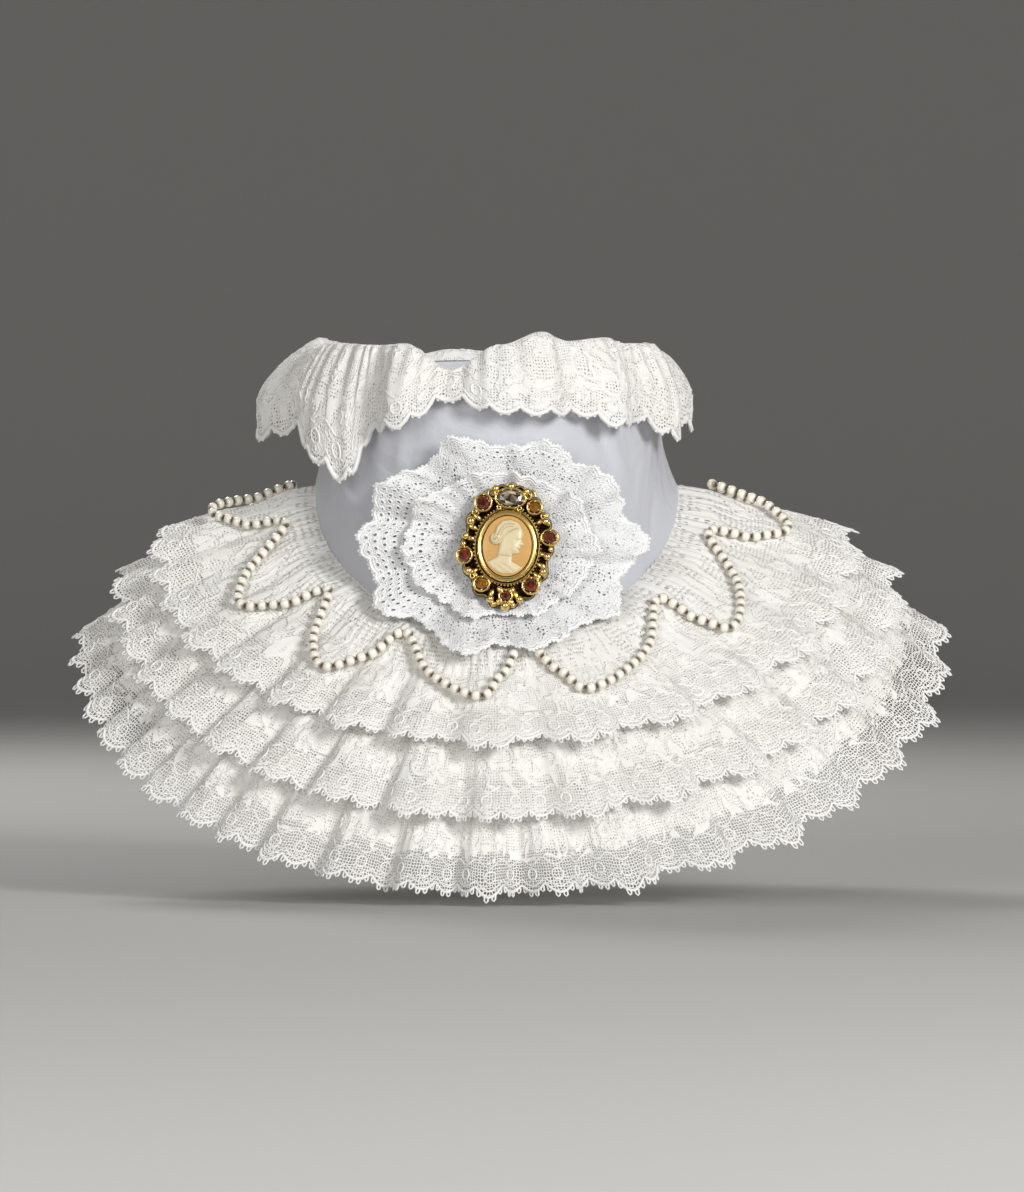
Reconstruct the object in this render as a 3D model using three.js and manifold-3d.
// A Victorian style ruffled lace collar: a tall stand collar with a gathered frill round its top edge,
// three gathered lace tiers round its foot, two bead strings sewn on them in swags, and a two-layer
// lace rosette at the throat that carries an oval cameo brooch. It is shown as it is worn.
// Units are millimetres, +Z is up, and the front faces -Y. The origin is the middle of the neck hollow.
import * as THREE from 'three';
import { mergeVertices } from 'three/addons/utils/BufferGeometryUtils.js';
import Module from 'manifold-3d';

const wasm = await Module();
wasm.setup();

// Driving dimensions of the stand collar.
const BAND_WIDTH = 142;            // outer width of the stand collar above its flared foot
const BAND_DEPTH = 136;            // outer depth of the stand collar above its flared foot
const BAND_FLARE = 12;             // how far the foot spreads past that on every side
const BAND_FLARE_HEIGHT = 14;      // the height over which the flare dies away
const BAND_LEAN = -4.5;            // how far the top stands to one side of the foot
const BAND_LEAN_HEIGHT = 30;       // the height over which it does so
const BAND_WALL = 1.6;             // doubled cotton sateen
const SEAM_FRONT_Z = -36;          // the foot of the stand collar at the pit of the throat
const SEAM_SIDE_Z = 21;            // and at the side of the neck
const SEAM_NAPE_RISE = 3;          // how much higher it is at the nape than at the side
const SEAM_NAPE_EASE = 0.3;        // how quickly it levels out behind the side
const BAND_TOP_Z = 83;             // the top edge at the side of the neck
const BAND_TOP_TILT = 6;           // the top edge is this much lower in front and higher behind
const BACK_GAP_DEG = 0.7;          // half of the opening at the nape, as an angle

// Driving dimensions of the lace tiers.
const LACE_WALL = 1.1;             // gathered lace with its raised cords
const PIECE_GAP = 0.45;            // clearance between a sewn edge and what it is sewn to
const SEAM_OFF = 1.6;              // the middle of a tier's gathered edge from the stand collar's face
const RUFF_HALF_WIDTH = 177;       // hem of the lowest tier from the middle to the shoulder
const RUFF_SKEW = 5;               // it reaches this much further on the +X side, and less on the other
const RUFF_FRONT_Y = -121;         // hem of the lowest tier on the chest
const RUFF_BACK_Y = 136;           // hem of the lowest tier on the back
const RUFF_SIDE_Z = -40;           // height of that hem on the shoulder
const RUFF_FRONT_DROP = 94;        // how far it falls from there to the chest
const RUFF_BACK_DROP = 12;         // and to the back
const SHOULDER_RISE = 0.15;        // how far behind the shoulder line the hem stays high
const BASE_BULGE = { front: 2, side: 8 };   // how far the body swells between the seam and that hem

// How a tier stands off the body, by its place between its seam (0) and its hem (1). lift is the middle of
// the cloth above the body and fold is half the depth of its pleats. hem is where it ends on the body, as a
// share of the lowest hem, and seamRise how far up the stand collar it is sewn, in front and at the side.
const TIERS = [
  {
    name: 'tier_lower',
    pleats: 42,
    seed: 3,
    seamRise: { front: 1.5, side: 2 },
    hem: { front: 1, side: 1 },
    colour: 0xf4f2ee,
    rows: [
      { at: 0, lift: 0, fold: 0.3 },
      { at: 0.7, lift: 3.2, fold: 2.2 },
      { at: 1, lift: 6.8, fold: 6.3 },
    ],
  },
  {
    name: 'tier_middle',
    pleats: 34,
    seed: 11,
    seamRise: { front: 5.5, side: 5 },
    hem: { front: 0.72, side: 0.74 },
    colour: 0xf7f5f1,
    rows: [
      { at: 0, lift: 2.2, fold: 0.3 },
      { at: 0.62, lift: 7.6, fold: 1.8 },
      { at: 1, lift: 13.2, fold: 4.4 },
    ],
  },
  {
    name: 'tier_upper',
    pleats: 30,
    seed: 23,
    seamRise: { front: 9.5, side: 8 },
    hem: { front: 0.42, side: 0.52 },
    colour: 0xfaf8f4,
    rows: [
      { at: 0, lift: 3, fold: 0.3 },
      { at: 0.26, lift: 8.5, fold: 0.9 },
      { at: 1, lift: 16.6, fold: 3.4 },
    ],
  },
];
const PLEAT_STATIONS = [-75, 75, 150, 210];   // degrees of one pleat: two on its crest, two in its valley
const PLEAT_WIDTH_SPREAD = 0.3;               // pleats differ in width by up to this share
const PLEAT_SIDE_SPREAD = 0.25;               // they are narrower on the -X side and wider on +X
const PLEAT_DEPTH_SPREAD = 0.3;               // and are shallower by up to this share
const PLEAT_LEAN = 0.45;                      // how far a crest leans over, as a share of its height

// The top frill, a row for each crest and valley, by its azimuth from the front towards +X. reach is how
// far it stands out from the stand collar, drop how far its hem hangs below the top edge, rise its arch.
const FRILL_WALL = 1.1;
const FRILL_FOLDS = [
  { azimuth: -178, reach: 20, drop: 16, rise: 4 },
  { azimuth: -166, reach: 24, drop: 21, rise: 5 },
  { azimuth: -154, reach: 12, drop: 14, rise: 3 },
  { azimuth: -141, reach: 25, drop: 24, rise: 6 },
  { azimuth: -128, reach: 12, drop: 15, rise: 5 },
  { azimuth: -114, reach: 27, drop: 26, rise: 11 },
  { azimuth: -103, reach: 22, drop: 26, rise: 13 },
  { azimuth: -90, reach: 29, drop: 29, rise: 11 },
  { azimuth: -78, reach: 11, drop: 24, rise: 11 },
  { azimuth: -68, reach: 18, drop: 20, rise: 13 },
  { azimuth: -59, reach: 17, drop: 35, rise: 14 },
  { azimuth: -47, reach: 12, drop: 44, rise: 14 },
  { azimuth: -40, reach: 5, drop: 22, rise: 14 },
  { azimuth: -28, reach: 15, drop: 20, rise: 15 },
  { azimuth: -13, reach: 6, drop: 8, rise: 5 },
  { azimuth: 4, reach: 13, drop: 13, rise: 15 },
  { azimuth: 17, reach: 15, drop: 14, rise: 20 },
  { azimuth: 27, reach: 8, drop: 14, rise: 16 },
  { azimuth: 40, reach: 16, drop: 20, rise: 17 },
  { azimuth: 52, reach: 6, drop: 18, rise: 14 },
  { azimuth: 68, reach: 15, drop: 27, rise: 13 },
  { azimuth: 80, reach: 8, drop: 20, rise: 8 },
  { azimuth: 92, reach: 15, drop: 25, rise: 7 },
  { azimuth: 104, reach: 10, drop: 16, rise: 8 },
  { azimuth: 117, reach: 21, drop: 22, rise: 10 },
  { azimuth: 130, reach: 12, drop: 15, rise: 5 },
  { azimuth: 142, reach: 24, drop: 23, rise: 6 },
  { azimuth: 155, reach: 12, drop: 14, rise: 3 },
  { azimuth: 167, reach: 24, drop: 21, rise: 5 },
  { azimuth: 178, reach: 20, drop: 16, rise: 4 },
];

// The arch of the frill from its sewn edge to its hem: shares of reach outwards, of rise up and of drop down.
const FRILL_ARCH = [
  { along: 0.00, out: 0.00, up: 0.00, down: 0.00 },
  { along: 0.24, out: 0.15, up: 1.00, down: 0.00 },
  { along: 0.50, out: 0.60, up: 0.70, down: 0.15 },
  { along: 0.74, out: 0.97, up: 0.18, down: 0.42 },
  { along: 1.00, out: 0.97, up: 0.00, down: 1.00 },
];

// The rosette at the throat: two gathered rings of lace in one set of waves. The waves start at a share of
// the radius, ripple is what the front layer adds to them, and lobe is how far its edge is scalloped.
const ROSETTE = { x: 0, z: 10, halfWidth: 60, halfHeight: 45, waves: 10, lobe: 0.05 };
const WAVE_GROWTH = { from: 0.4, full: 1 };
const RIPPLE_GROWTH = { from: 0.4, full: 0.7 };
const ROSETTE_STATIONS = 4;        // points of one wave
const ROSETTE_FRONT_Y = -69.5;     // the middle of the back layer over the throat
const ROSETTE_BOW = 140;           // it bends back round the throat on this radius
const ROSETTE_FOOT = [             // and comes forward over the gathered tiers
  { z: -38, forward: 28 },
  { z: -30, forward: 18 },
  { z: -22, forward: 9.5 },
  { z: -10, forward: 3.6 },
  { z: 14, forward: 0 },
];
const ROSETTE_LAYERS = [
  { name: 'rosette_outer', front: 0, wave: 2.8, ripple: 0, rows: [0.1, 0.45, 0.67, 1], colour: 0xfbfbfa },
  { name: 'rosette_inner', front: 1.6, wave: 2.8, ripple: 1.6, rows: [0.1, 0.45, 0.67], colour: 0xffffff },
];

// The swags of the bead strings on the upper tier: azimuth of the inner and outer turn of each, and how far
// down the body surface they lie (from and reach). They run from the middle of the front to the nape.
// A swag has a shoulder on its way out and another on its way back, as shares of its turn and its reach.
const SWAG_OUT = { turn: 0.55, reach: 0.62 };
const SWAG_BACK = { turn: 0.42, reach: 0.74 };
const BEAD = 4.4;
const BEAD_GAP = 0.75;                        // between the beads and the crests that they lie on
const BEAD_SIDES = 8;
const BEAD_STEPS = 36;
const BEAD_STRINGS = [
  {
    name: 'pearl_string_left', end: { azimuth: -177, reach: 0.06 },
    swags: [
      { inner: 3, from: 0.07, outer: -3, reach: 0.23 },
      { inner: -22, from: 0.045, outer: -33, reach: 0.26 },
      { inner: -48, from: 0.045, outer: -59, reach: 0.27 },
      { inner: -77, from: 0.045, outer: -91, reach: 0.28 },
      { inner: -106, from: 0.045, outer: -119, reach: 0.27 },
      { inner: -134, from: 0.045, outer: -147, reach: 0.27 },
      { inner: -161, from: 0.045, outer: -169, reach: 0.21 },
    ],
  },
  {
    name: 'pearl_string_right', end: { azimuth: 177, reach: 0.06 },
    swags: [
      { inner: 8.5, from: 0.07, outer: 15, reach: 0.23 },
      { inner: 43, from: 0.045, outer: 49, reach: 0.25 },
      { inner: 73, from: 0.045, outer: 84, reach: 0.26 },
      { inner: 100, from: 0.045, outer: 112, reach: 0.27 },
      { inner: 127, from: 0.045, outer: 139, reach: 0.27 },
      { inner: 153, from: 0.045, outer: 163, reach: 0.24 },
    ],
  },
];

// The brooch, in its own plane: x to the right, y up, and its thickness towards the front.
const BROOCH = { x: 3, y: -77.7, z: 9, turn: -4, pitch: -7 };
const PLATE = { halfWidth: 18, halfHeight: 24.5, sides: 42, lobes: 14, lobe: 0.05, thickness: 2 };
const BEZEL = { halfWidth: 11.5, halfHeight: 13.9, radius: 1.1, middle: 2.7, sides: 24 };
const CAMEO = { halfWidth: 10.1, halfHeight: 12.5, base: 2.3, edge: 3.2, dome: 0.5, sides: 24 };
const COLLET = { wall: 0.9, gap: 0.3, base: 1, height: 3.7, bevel: 0.4 };
const GRAIN_RISE = 0.3;            // the middle of a grain above the plate
const CUT = { base: 2.3, girdle: 3.4, table: 4.5, baseShare: 0.5, tableShare: 0.6, facets: 8 };
const STONES = [
  { name: 'stone_crystal_top', x: 0, y: 20, halfWidth: 5.6, halfHeight: 3.3, colour: 0xd8c8b0 },
  { name: 'stone_garnet_upper_left', x: -11.1, y: 17.4, halfWidth: 2.8, halfHeight: 2.8, colour: 0x6e1a0e },
  { name: 'stone_garnet_left', x: -17.4, y: -4.8, halfWidth: 2.5, halfHeight: 2.7, colour: 0x7a2412 },
  { name: 'stone_topaz_lower_left', x: -9.4, y: -16.2, halfWidth: 2.6, halfHeight: 2.3, colour: 0xa86a14 },
  { name: 'stone_garnet_foot', x: 0.8, y: -20.6, halfWidth: 2, halfHeight: 2, colour: 0x8c1f12 },
  { name: 'stone_garnet_lower_right', x: 10.8, y: -15.6, halfWidth: 2.8, halfHeight: 2.7, colour: 0x4e120e },
  { name: 'stone_garnet_right', x: 17.3, y: 4.8, halfWidth: 2.9, halfHeight: 2.5, colour: 0x5c160e },
  { name: 'stone_topaz_upper_right', x: 10.2, y: 16.8, halfWidth: 2.4, halfHeight: 2.1, colour: 0xa86a14 },
];
const GRAINS = [
  { x: -15.5, y: 9.5, radius: 1.9 },
  { x: -17.2, y: 3.2, radius: 1.7 },
  { x: -15.2, y: -11.2, radius: 1.8 },
  { x: -5.4, y: -22.2, radius: 1.7 },
  { x: 6.6, y: -21.6, radius: 1.7 },
  { x: 0.9, y: -24.7, radius: 2.1 },
  { x: 16.9, y: -3.2, radius: 1.8 },
  { x: 15.6, y: -9.6, radius: 1.9 },
  { x: 15.2, y: 11.4, radius: 1.7 },
  { x: -6.4, y: 23.6, radius: 1.7 },
  { x: 6.6, y: 23.2, radius: 1.7 },
  { x: 0, y: 24.9, radius: 2 },
];

// The head and shoulders on the cameo, a plain classical profile facing +X, as outline points.
const RELIEF_SINK = 0.2;           // the relief starts this far inside the ground
const RELIEF_HEIGHT = 1.1;
const RELIEF_OUTLINE = [
  [-6.4, -9.2], [-1.5, -10.6], [3.4, -9.9], [6.2, -7.6], [4.4, -6.4], [1.9, -5.6], [1.6, -3.5], [3.0, -2.9],
  [3.9, -2.3], [3.6, -1.3], [4.1, -0.7], [3.9, 0.1], [4.7, 0.5], [3.9, 2.3], [4.0, 4.2], [3.3, 6.2],
  [1.6, 7.9], [-1.0, 8.5], [-3.8, 7.6], [-5.6, 5.4], [-6.1, 2.6], [-5.4, 0.0], [-4.0, -2.2], [-3.6, -4.6],
  [-5.2, -6.2], [-6.8, -7.5],
];
const HAIR_HEIGHT = 1.7;
const HAIR_OUTLINE = [
  [2.2, 5.4], [0.8, 7.4], [-1.4, 8.1], [-4.0, 7.2], [-5.5, 5.0], [-5.9, 2.4], [-5.0, -0.2], [-3.2, -0.4],
  [-2.4, 1.4], [-1.2, 3.4], [0.6, 4.6],
];

const radians = THREE.MathUtils.degToRad;
const clamp = THREE.MathUtils.clamp;
const mix = THREE.MathUtils.lerp;
const ease = (t) => THREE.MathUtils.smoothstep(t, 0, 1);

// A repeatable number from 0 to 1 for a pleat.
function chance(index, seed) {
  const wide = Math.sin(index * 12.9898 + seed * 78.233) * 43758.5453;
  return wide - Math.floor(wide);
}

// A value that goes from the front and back to the sides.
function frontToSide({ front, side }, azimuth) {
  return mix(front, side, Math.sin(azimuth) ** 2);
}

// The value of a named column, drawn straight from row to row of a table.
function column(rows, by, at, key) {
  const next = clamp(rows.findIndex((row) => row[by] >= at), 1, rows.length - 1);
  const [a, b] = [rows[next - 1], rows[next]];
  return mix(a[key], b[key], (at - a[by]) / (b[by] - a[by]));
}

// The stand collar.

function seamHeight(azimuth) {
  const behind = -Math.cos(azimuth);
  if (behind <= 0) return SEAM_SIDE_Z + (SEAM_SIDE_Z - SEAM_FRONT_Z) * behind;
  const slope = (SEAM_SIDE_Z - SEAM_FRONT_Z) * SEAM_NAPE_EASE;
  return SEAM_SIDE_Z + Math.min(SEAM_NAPE_RISE, slope * (1 - Math.exp(-behind / SEAM_NAPE_EASE)));
}

function topHeight(azimuth) {
  return BAND_TOP_Z - BAND_TOP_TILT * Math.cos(azimuth);
}

// A point of the stand collar's outer face, or off it by some millimetres, at a height above its foot.
function bandPoint(azimuth, rise, off) {
  const spread = BAND_FLARE * Math.exp(-rise / BAND_FLARE_HEIGHT) + off;
  const lean = BAND_LEAN * (1 - Math.exp(-rise / BAND_LEAN_HEIGHT));
  return new THREE.Vector3(
    (BAND_WIDTH / 2 + spread) * Math.sin(azimuth) + lean,
    -(BAND_DEPTH / 2 + spread) * Math.cos(azimuth),
    seamHeight(azimuth) + rise,
  );
}

// The surface that the tiers lie on, from the foot of the stand collar (0) to the lowest hem (1).

function hemPoint(azimuth) {
  const behind = -Math.cos(azimuth);
  const depth = behind <= 0 ? -RUFF_FRONT_Y : RUFF_BACK_Y;
  let height = RUFF_SIDE_Z + RUFF_FRONT_DROP * behind;
  if (behind > 0) {
    height = RUFF_SIDE_Z + RUFF_FRONT_DROP * behind * Math.exp(-behind / SHOULDER_RISE)
      - RUFF_BACK_DROP * behind * behind;
  }
  const width = RUFF_HALF_WIDTH + RUFF_SKEW * Math.sin(azimuth);
  return new THREE.Vector3(width * Math.sin(azimuth), depth * behind, height);
}

function bodyPoint(azimuth, at) {
  const seam = bandPoint(azimuth, 0, SEAM_OFF);
  const chord = hemPoint(azimuth).sub(seam);
  const outward = new THREE.Vector3(chord.x, chord.y, 0);
  const flat = outward.length();
  const normal = outward.clone().multiplyScalar(-chord.z / flat).setZ(flat).normalize();
  const bulge = 4 * at * (1 - at) * frontToSide(BASE_BULGE, azimuth);
  const place = seam.addScaledVector(chord, at).addScaledVector(normal, bulge);
  return { place, normal };
}

// The edges of a tier's pleats as shares of its way round, so that they differ in width.
function pleatEdges(tier) {
  const edges = [0];
  for (let i = 0; i < tier.pleats; i += 1) {
    const azimuth = mix(-Math.PI, Math.PI, (i + 0.5) / tier.pleats);
    const side = 1 + PLEAT_SIDE_SPREAD * Math.sin(azimuth);
    edges.push(edges[i] + side * (1 + PLEAT_WIDTH_SPREAD * (chance(i, tier.seed) - 0.5)));
  }
  return edges.map((edge) => edge / edges[tier.pleats]);
}

// Where a row of a tier lies before its pleats, and which way the cloth faces there.
function rowPoint(tier, row, azimuth) {
  const { place, normal } = bodyPoint(azimuth, frontToSide(tier.hem, azimuth) * row.at);
  if (row.at === 0) place.copy(bandPoint(azimuth, frontToSide(tier.seamRise, azimuth), SEAM_OFF));
  return { place: place.addScaledVector(normal, row.lift), normal };
}

// One row across a tier: the middle of the cloth at each station of each pleat.
function tierRow(tier, row, edges) {
  const points = [];
  const half = Math.PI - radians(BACK_GAP_DEG);
  const count = tier.pleats * PLEAT_STATIONS.length;
  for (let k = 0; k <= count; k += 1) {
    const pleat = Math.min(Math.floor(k / PLEAT_STATIONS.length), tier.pleats - 1);
    const turn = radians(k === count ? PLEAT_STATIONS[0] + 360 : PLEAT_STATIONS[k % PLEAT_STATIONS.length]);
    const share = clamp((turn - radians(PLEAT_STATIONS[0])) / (2 * Math.PI), 0, 1);
    const azimuth = mix(-half, half, mix(edges[pleat], edges[pleat + 1], share));
    const crest = 1 - 2 * Math.sin(turn / 2) ** 4;
    const depth = 1 - PLEAT_DEPTH_SPREAD * chance(pleat, tier.seed + 1);
    const { place, normal } = rowPoint(tier, row, azimuth);
    const height = row.fold * depth * crest;
    const along = new THREE.Vector3(Math.cos(azimuth), Math.sin(azimuth), 0);
    const lean = PLEAT_LEAN * (chance(pleat, tier.seed + 2) - 0.5) * (height + row.fold);
    points.push(place.addScaledVector(normal, height).addScaledVector(along, lean));
  }
  return points;
}

// A sheet of cloth with thickness from rows of points along its middle: two faces and a rim.
function sheetGeometry(rows, wall, ring = false) {
  const across = rows.length;
  const along = rows[0].length;
  const wrap = (i) => (ring ? (i + along) % along : clamp(i, 0, along - 1));
  const at = (r, i) => rows[clamp(r, 0, across - 1)][wrap(i)];
  const position = [];
  [wall / 2, -wall / 2].forEach((off) => {
    for (let r = 0; r < across; r += 1) {
      for (let i = 0; i < along; i += 1) {
        const u = at(r, i + 1).clone().sub(at(r, i - 1));
        const v = at(r + 1, i).clone().sub(at(r - 1, i));
        const p = at(r, i).clone().addScaledVector(v.cross(u).normalize(), off);
        position.push(p.x, p.y, p.z);
      }
    }
  });
  const index = [];
  const quad = (a, b, c, d) => index.push(a, b, c, a, c, d);
  const upper = (r, i) => r * along + wrap(i);
  const lower = (r, i) => (across + r) * along + wrap(i);
  const spans = ring ? along : along - 1;
  for (let i = 0; i < spans; i += 1) {
    for (let r = 0; r < across - 1; r += 1) {
      quad(upper(r, i), upper(r + 1, i), upper(r + 1, i + 1), upper(r, i + 1));
      quad(lower(r, i), lower(r, i + 1), lower(r + 1, i + 1), lower(r + 1, i));
    }
    quad(upper(0, i), upper(0, i + 1), lower(0, i + 1), lower(0, i));
    quad(upper(across - 1, i + 1), upper(across - 1, i), lower(across - 1, i), lower(across - 1, i + 1));
  }
  if (!ring) {
    for (let r = 0; r < across - 1; r += 1) {
      quad(upper(r, 0), lower(r, 0), lower(r + 1, 0), upper(r + 1, 0));
      quad(upper(r, along - 1), upper(r + 1, along - 1), lower(r + 1, along - 1), lower(r, along - 1));
    }
  }
  const geometry = new THREE.BufferGeometry();
  geometry.setAttribute('position', new THREE.Float32BufferAttribute(position, 3));
  geometry.setIndex(index);
  geometry.computeVertexNormals();
  return geometry;
}

function piece(name, geometry, colour, roughness = 0.85, metalness = 0) {
  const material = new THREE.MeshStandardMaterial({ color: colour, roughness, metalness });
  const mesh = new THREE.Mesh(geometry, material);
  mesh.name = name;
  return mesh;
}

const collar = new THREE.Group();

// The stand collar is one cotton wall, open at the nape.
const BAND_STEPS = 30;
const BAND_RISES = [0, 0.08, 0.22, 0.42, 0.68, 1];

function bandRow(share, from, to, steps, off) {
  const points = [];
  for (let i = 0; i <= steps; i += 1) {
    const azimuth = mix(from, to, i / steps);
    points.push(bandPoint(azimuth, share * (topHeight(azimuth) - seamHeight(azimuth)), off));
  }
  return points;
}

const backEdge = Math.PI - radians(BACK_GAP_DEG);
const bandRows = BAND_RISES.map((share) => bandRow(share, backEdge, -backEdge, BAND_STEPS, -BAND_WALL / 2));
collar.add(piece('neck_band', sheetGeometry(bandRows, BAND_WALL), 0xe9e9ef, 0.6));

// A plain strip closes the opening at the nape. It lies on the outside of the stand collar.
const PLACKET_HALF_ANGLE = 0.13;
const PLACKET_STEPS = 6;
const PLACKET_RISES = [0.42, 0.68, 0.95];
const placketEdges = [Math.PI + PLACKET_HALF_ANGLE, Math.PI - PLACKET_HALF_ANGLE];
const placketRows = PLACKET_RISES.map(
  (share) => bandRow(share, ...placketEdges, PLACKET_STEPS, PIECE_GAP + BAND_WALL / 2));
collar.add(piece('back_placket', sheetGeometry(placketRows, BAND_WALL), 0xe9e9ef, 0.6));

TIERS.forEach((tier) => {
  const edges = pleatEdges(tier);
  const rows = tier.rows.map((row) => tierRow(tier, row, edges).reverse());
  collar.add(piece(tier.name, sheetGeometry(rows, LACE_WALL), tier.colour));
});

// The frill round the top edge.

function frillFold(azimuthDeg) {
  const next = Math.max(1, FRILL_FOLDS.findIndex((fold) => fold.azimuth >= azimuthDeg));
  const [a, b] = [FRILL_FOLDS[next - 1], FRILL_FOLDS[next]];
  const t = ease((azimuthDeg - a.azimuth) / (b.azimuth - a.azimuth));
  return { reach: mix(a.reach, b.reach, t), drop: mix(a.drop, b.drop, t), rise: mix(a.rise, b.rise, t) };
}

function frillPoint(azimuthDeg, arch) {
  const azimuth = radians(azimuthDeg);
  const fold = frillFold(azimuthDeg);
  const height = topHeight(azimuth) - seamHeight(azimuth);
  const out = arch.out * fold.reach - BAND_WALL / 2;
  const place = bandPoint(azimuth, height, out);
  place.z += PIECE_GAP + fold.rise * arch.up - fold.drop * arch.down;
  return place;
}

const FRILL_STATIONS = { front: [0, 1 / 3, 2 / 3], back: [0, 1 / 2] };
const frillAzimuths = FRILL_FOLDS.slice(0, -1).flatMap((fold, i) => {
  const shares = Math.abs(fold.azimuth) < 100 ? FRILL_STATIONS.front : FRILL_STATIONS.back;
  return shares.map((share) => mix(fold.azimuth, FRILL_FOLDS[i + 1].azimuth, share));
});
frillAzimuths.push(FRILL_FOLDS[FRILL_FOLDS.length - 1].azimuth);
const frillRows = FRILL_ARCH.map(
  (arch) => frillAzimuths.map((azimuth) => frillPoint(azimuth, arch)).reverse());
collar.add(piece('top_frill', sheetGeometry(frillRows, FRILL_WALL), 0xf2f1ee));

// The rosette. A point is given by its share of the outer layer's radius and its angle.

function rosettePoint(layer, angle, share) {
  const [waved, rippled] = [WAVE_GROWTH, RIPPLE_GROWTH].map(
    (growth) => ease((share - growth.from) / (growth.full - growth.from)));
  const crest = 1 + Math.cos(ROSETTE.waves * angle);
  const inset = ROSETTE.lobe * (2 - crest) * waved;
  const x = ROSETTE.x + ROSETTE.halfWidth * share * (1 - inset) * Math.cos(angle);
  const z = ROSETTE.z + ROSETTE.halfHeight * share * (1 - inset) * Math.sin(angle);
  const forward = layer.front + crest * (layer.wave * waved + layer.ripple * rippled);
  const foot = z < ROSETTE_FOOT[ROSETTE_FOOT.length - 1].z ? column(ROSETTE_FOOT, 'z', z, 'forward') : 0;
  return new THREE.Vector3(x, ROSETTE_FRONT_Y - foot - forward + x * x / (2 * ROSETTE_BOW), z);
}

ROSETTE_LAYERS.forEach((layer) => {
  const stations = ROSETTE.waves * ROSETTE_STATIONS;
  const rows = layer.rows.map((share) => Array.from(
    { length: stations }, (_, i) => rosettePoint(layer, -2 * Math.PI * (i + 0.5) / stations, share)));
  collar.add(piece(layer.name, sheetGeometry(rows, LACE_WALL, true), layer.colour));
});

// The bead strings, as plain tubes that ride on the crests of the upper tier.

const upperTier = TIERS[TIERS.length - 1];

function beadPoint(azimuthDeg, reach) {
  const azimuth = radians(azimuthDeg);
  const at = Math.min(1, reach / frontToSide(upperTier.hem, azimuth));
  const next = upperTier.rows.findIndex((row) => row.at >= at);
  const span = [upperTier.rows[next - 1], upperTier.rows[next]];
  const [low, high] = span.map((row) => {
    const { place, normal } = rowPoint(upperTier, row, azimuth);
    return place.addScaledVector(normal, row.fold + LACE_WALL / 2 + BEAD_GAP + BEAD / 2);
  });
  return low.lerp(high, (at - span[0].at) / (span[1].at - span[0].at));
}

function swagPath(string) {
  const stops = [...string.swags.map((swag) => swag.inner), string.end.azimuth];
  const points = [];
  string.swags.forEach((swag, i) => {
    const next = stops[i + 1];
    points.push(beadPoint(swag.inner, swag.from));
    points.push(beadPoint(mix(swag.inner, swag.outer, SWAG_OUT.turn), SWAG_OUT.reach * swag.reach));
    points.push(beadPoint(swag.outer, swag.reach));
    points.push(beadPoint(mix(swag.outer, next, SWAG_BACK.turn), SWAG_BACK.reach * swag.reach));
  });
  points.push(beadPoint(string.end.azimuth, string.end.reach));
  return new THREE.CatmullRomCurve3(points, false, 'centripetal');
}

const beadSection = ovalShape(BEAD / 2, BEAD / 2, BEAD_SIDES);
BEAD_STRINGS.forEach((string) => {
  const tube = new THREE.ExtrudeGeometry(beadSection, { steps: BEAD_STEPS, extrudePath: swagPath(string) });
  collar.add(piece(string.name, tube, 0xf3e7c8, 0.3));
});

// The brooch.

function toSolid(geometry) {
  const plain = geometry.clone();
  plain.deleteAttribute('normal');
  plain.deleteAttribute('uv');
  const merged = mergeVertices(plain, 1e-4);
  return new wasm.Manifold(new wasm.Mesh({
    numProp: 3,
    vertProperties: new Float32Array(merged.attributes.position.array),
    triVerts: new Uint32Array(merged.index.array),
  }));
}

function toGeometry(solid) {
  const mesh = solid.getMesh();
  const geometry = new THREE.BufferGeometry();
  geometry.setAttribute('position', new THREE.BufferAttribute(mesh.vertProperties, 3));
  geometry.setIndex(new THREE.BufferAttribute(mesh.triVerts, 1));
  const faceted = geometry.toNonIndexed();
  faceted.computeVertexNormals();
  return faceted;
}

function ovalShape(halfWidth, halfHeight, sides, lobes = 0, lobe = 0) {
  return new THREE.Shape(Array.from({ length: sides }, (_, i) => {
    const angle = 2 * Math.PI * i / sides;
    const swell = 1 + lobe * Math.cos(lobes * angle);
    return new THREE.Vector2(halfWidth * swell * Math.cos(angle), halfHeight * swell * Math.sin(angle));
  }));
}

// A closed oval ring of the given profile, whose points are [outward, up] from the oval.
function ovalRing(halfWidth, halfHeight, profile, sides) {
  const position = [];
  const index = [];
  const count = profile.length;
  for (let i = 0; i < sides; i += 1) {
    const angle = 2 * Math.PI * i / sides;
    profile.forEach(([outward, up]) => position.push(
      (halfWidth + outward) * Math.cos(angle), (halfHeight + outward) * Math.sin(angle), up));
    for (let k = 0; k < count; k += 1) {
      const [a, b] = [i * count + k, i * count + (k + 1) % count];
      const [c, d] = [((i + 1) % sides) * count + (k + 1) % count, ((i + 1) % sides) * count + k];
      index.push(a, d, c, a, c, b);
    }
  }
  const geometry = new THREE.BufferGeometry();
  geometry.setAttribute('position', new THREE.Float32BufferAttribute(position, 3));
  geometry.setIndex(index);
  return geometry;
}

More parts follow.
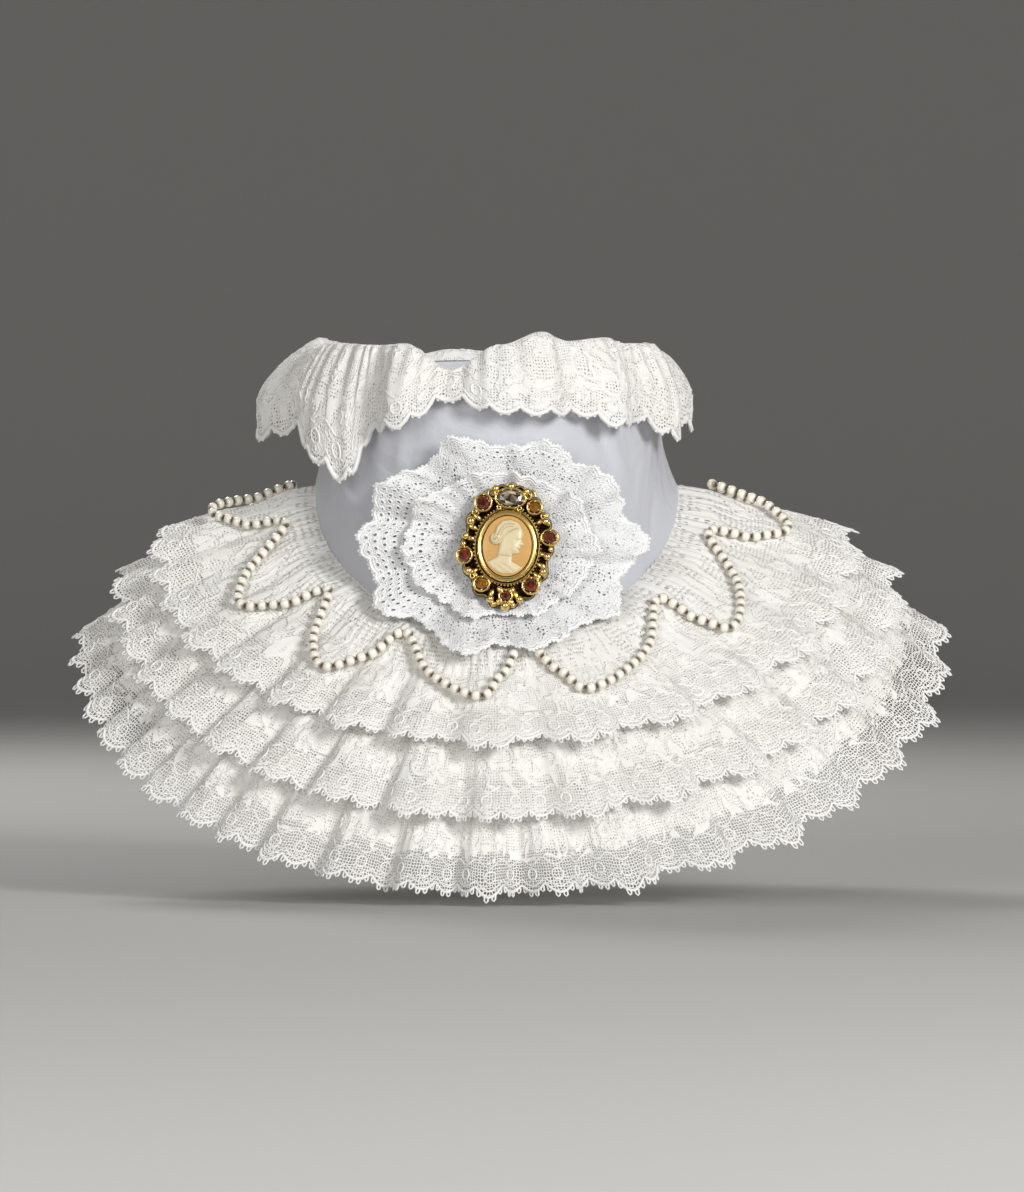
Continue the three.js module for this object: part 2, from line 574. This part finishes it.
// A solid from rings of points, one above the other, closed below and above at a middle point.
function stack(rings, base, top) {
  const sides = rings[0].length;
  const position = rings.flat(2);
  const index = [];
  for (let r = 0; r < rings.length - 1; r += 1) {
    for (let i = 0; i < sides; i += 1) {
      const [a, b] = [r * sides + i, r * sides + (i + 1) % sides];
      index.push(a, b, b + sides, a, b + sides, a + sides);
    }
  }
  const low = position.length / 3;
  position.push(...base, ...top);
  for (let i = 0; i < sides; i += 1) {
    const last = (rings.length - 1) * sides;
    index.push(low, (i + 1) % sides, i);
    index.push(low + 1, last + i, last + (i + 1) % sides);
  }
  const geometry = new THREE.BufferGeometry();
  geometry.setAttribute('position', new THREE.Float32BufferAttribute(position, 3));
  geometry.setIndex(index);
  return geometry;
}

// One ring of points, turned by a share of a side.
function ovalLoop(halfWidth, halfHeight, up, sides, turn = 0) {
  return Array.from({ length: sides }, (_, i) => {
    const angle = 2 * Math.PI * (i + turn) / sides;
    return [halfWidth * Math.cos(angle), halfHeight * Math.sin(angle), up];
  });
}

const plateShape = ovalShape(PLATE.halfWidth, PLATE.halfHeight, PLATE.sides, PLATE.lobes, PLATE.lobe);
let frame = toSolid(new THREE.ExtrudeGeometry(plateShape, { depth: PLATE.thickness, bevelEnabled: false }));
const bezelProfile = [45, 135, 225, 315].map((turn) => [
  BEZEL.radius * Math.cos(radians(turn)), BEZEL.middle + BEZEL.radius * Math.sin(radians(turn))]);
frame = frame.add(toSolid(ovalRing(BEZEL.halfWidth, BEZEL.halfHeight, bezelProfile, BEZEL.sides)));
STONES.forEach((stone) => {
  const inner = COLLET.gap;
  const outer = COLLET.gap + COLLET.wall;
  const profile = [
    [inner, COLLET.base],
    [outer, COLLET.base],
    [outer, COLLET.height - COLLET.bevel],
    [inner, COLLET.height],
  ];
  const collet = ovalRing(stone.halfWidth, stone.halfHeight, profile, CUT.facets);
  const foot = new THREE.ExtrudeGeometry(
    ovalShape(stone.halfWidth + outer, stone.halfHeight + outer, CUT.facets),
    { depth: PLATE.thickness, bevelEnabled: false });
  frame = frame.add(toSolid(collet.translate(stone.x, stone.y, 0)));
  frame = frame.add(toSolid(foot.translate(stone.x, stone.y, 0)));
});
GRAINS.forEach((grain) => {
  const ball = new THREE.IcosahedronGeometry(grain.radius, 0);
  frame = frame.add(toSolid(ball.translate(grain.x, grain.y, PLATE.thickness + GRAIN_RISE)));
});

const brooch = new THREE.Group();
brooch.position.set(BROOCH.x, BROOCH.y, BROOCH.z);
brooch.rotation.set(Math.PI / 2 + radians(BROOCH.pitch), 0, 0);
const broochFace = new THREE.Group();
broochFace.rotation.z = radians(BROOCH.turn);
brooch.add(broochFace);
broochFace.add(piece('brooch_frame', toGeometry(frame), 0xc8962e, 0.28, 1));

let cameo = toSolid(stack([
  ovalLoop(CAMEO.halfWidth, CAMEO.halfHeight, CAMEO.base, CAMEO.sides),
  ovalLoop(CAMEO.halfWidth, CAMEO.halfHeight, CAMEO.edge, CAMEO.sides),
], [0, 0, CAMEO.base], [0, 0, CAMEO.edge + CAMEO.dome]));
[[RELIEF_OUTLINE, RELIEF_HEIGHT], [HAIR_OUTLINE, HAIR_HEIGHT]].forEach(([outline, height]) => {
  const shape = new THREE.Shape(outline.map(([x, y]) => new THREE.Vector2(x, y)));
  const raised = new THREE.ExtrudeGeometry(shape, { depth: height, bevelEnabled: false });
  cameo = cameo.add(toSolid(raised.translate(0, 0, CAMEO.edge - RELIEF_SINK)));
});
broochFace.add(piece('cameo', toGeometry(cameo), 0xe8c48a, 0.45));

// A cut stone: a shallow base, a girdle, eight crown facets and a flat table.
STONES.forEach((stone) => {
  const [w, h] = [stone.halfWidth, stone.halfHeight];
  const cut = stack([
    ovalLoop(w * CUT.baseShare, h * CUT.baseShare, CUT.base, CUT.facets),
    ovalLoop(w, h, CUT.girdle, CUT.facets),
    ovalLoop(w * CUT.tableShare, h * CUT.tableShare, CUT.table, CUT.facets, 0.5),
  ], [0, 0, CUT.base], [0, 0, CUT.table]);
  broochFace.add(piece(stone.name, cut.translate(stone.x, stone.y, 0), stone.colour, 0.1));
});
collar.add(brooch);

export default collar;
